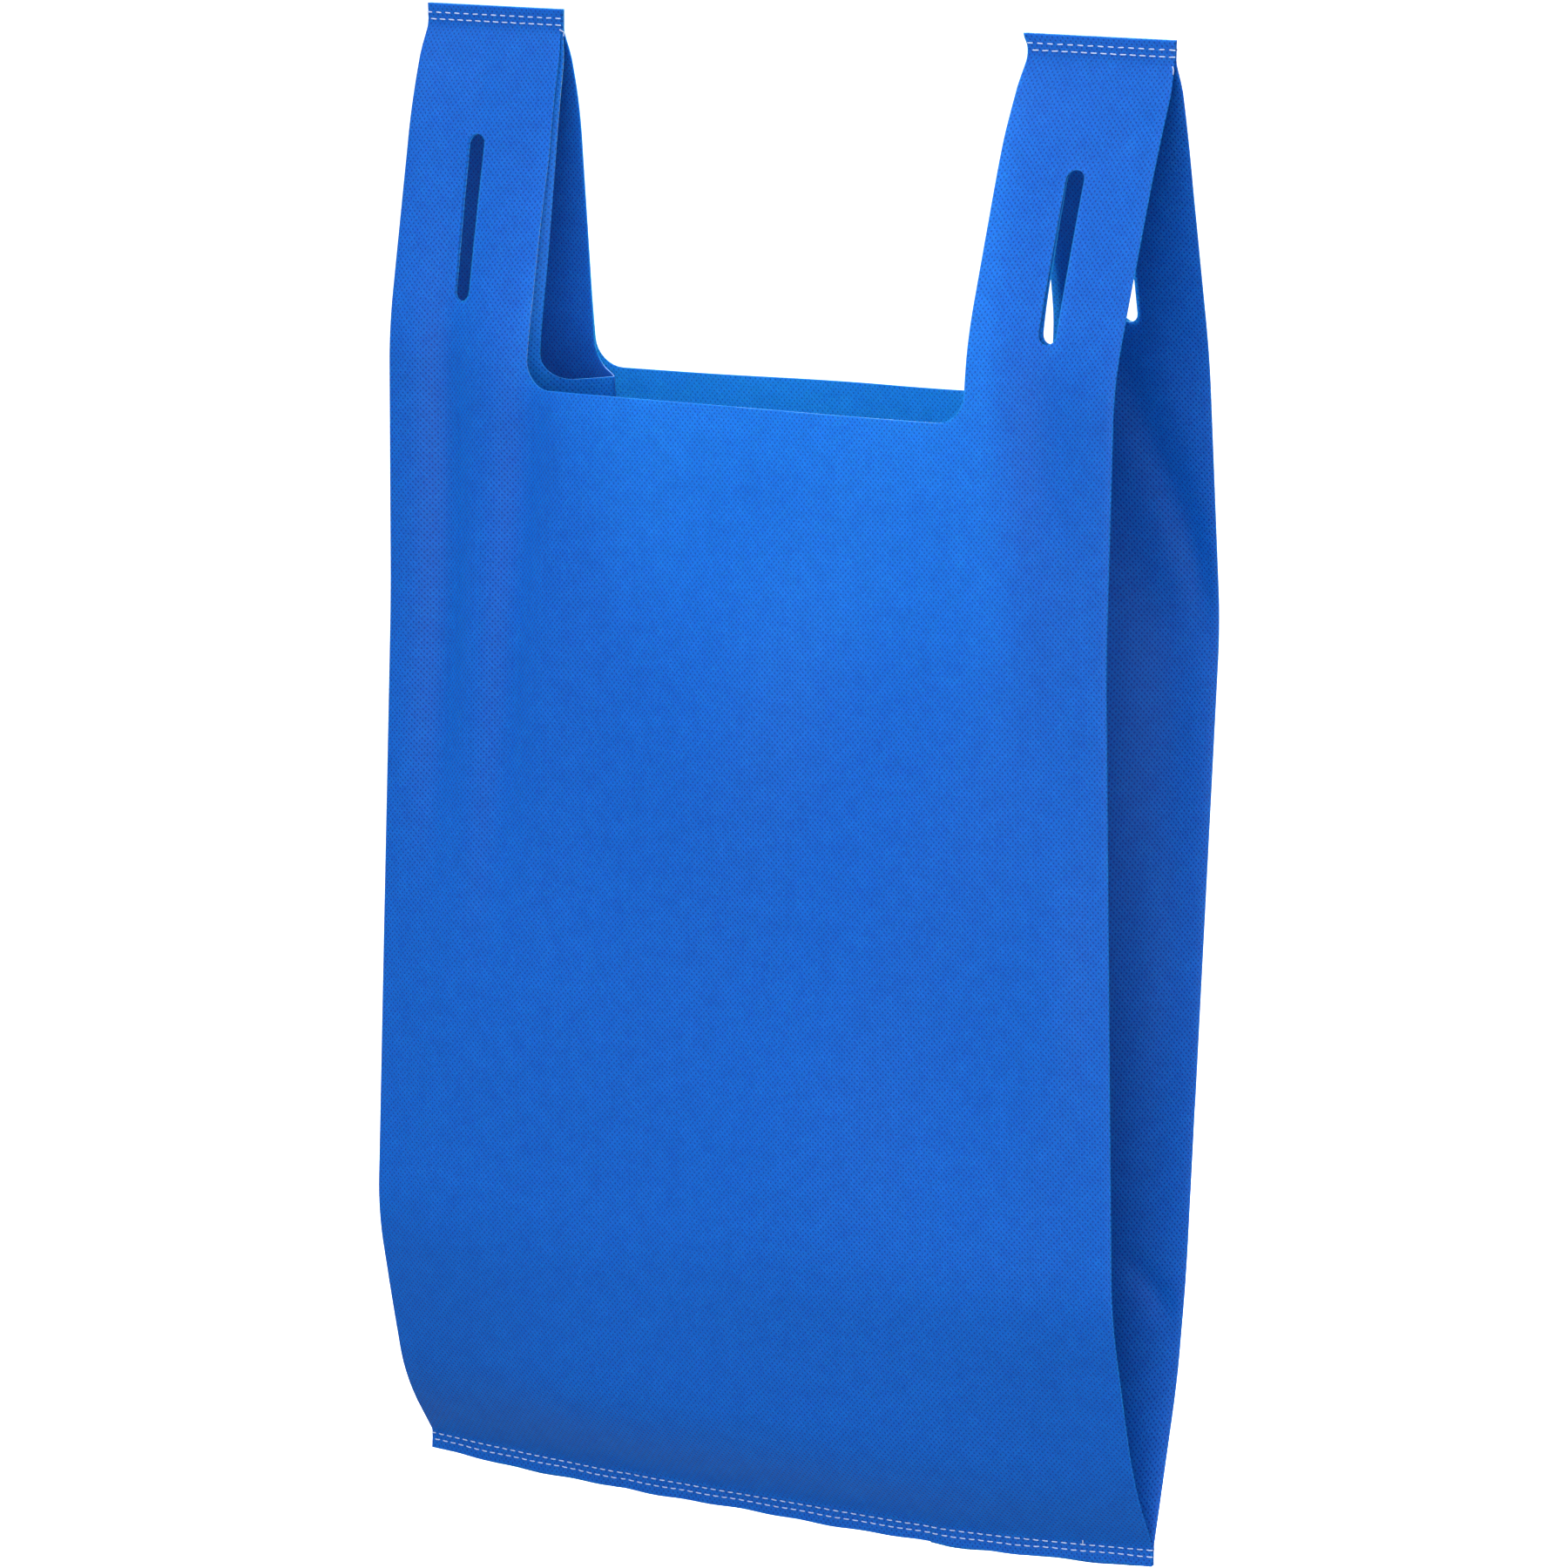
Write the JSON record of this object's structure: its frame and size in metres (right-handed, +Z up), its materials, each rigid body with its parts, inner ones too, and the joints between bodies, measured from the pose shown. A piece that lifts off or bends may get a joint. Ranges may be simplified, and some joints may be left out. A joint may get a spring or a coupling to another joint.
{
  "type": "non-woven shopping bag",
  "caption": "Vest-shaped carrier bag of blue non-woven cloth with side gussets, loop handles with hand slots, and stitched handle tops and hem, hanging open.",
  "frame": {"origin": "midway between the tops of the two handles, in the plane of the handle and hem seams", "axes": "+X along the hem to the right of the front panel, +Y from the front panel to the back panel, +Z up"},
  "size_m": [0.3514, 0.1123, 0.638],
  "materials": {
    "spunbond_cloth": "matt spunbond polypropylene with a fine bonded dot pattern",
    "sewing_thread": "pale twisted polyester thread"
  },
  "bodies": {
    "root": {"bag_body": "spunbond_cloth", "hem_upper_needle_thread": "sewing_thread", "hem_lower_needle_thread": "sewing_thread", "hem_upper_bobbin_thread": "sewing_thread", "hem_lower_bobbin_thread": "sewing_thread", "left_handle_upper_needle_thread": "sewing_thread", "left_handle_lower_needle_thread": "sewing_thread", "left_handle_upper_bobbin_thread": "sewing_thread", "left_handle_lower_bobbin_thread": "sewing_thread", "right_handle_upper_needle_thread": "sewing_thread", "right_handle_lower_needle_thread": "sewing_thread", "right_handle_upper_bobbin_thread": "sewing_thread", "right_handle_lower_bobbin_thread": "sewing_thread"}
  },
  "joints": []
}
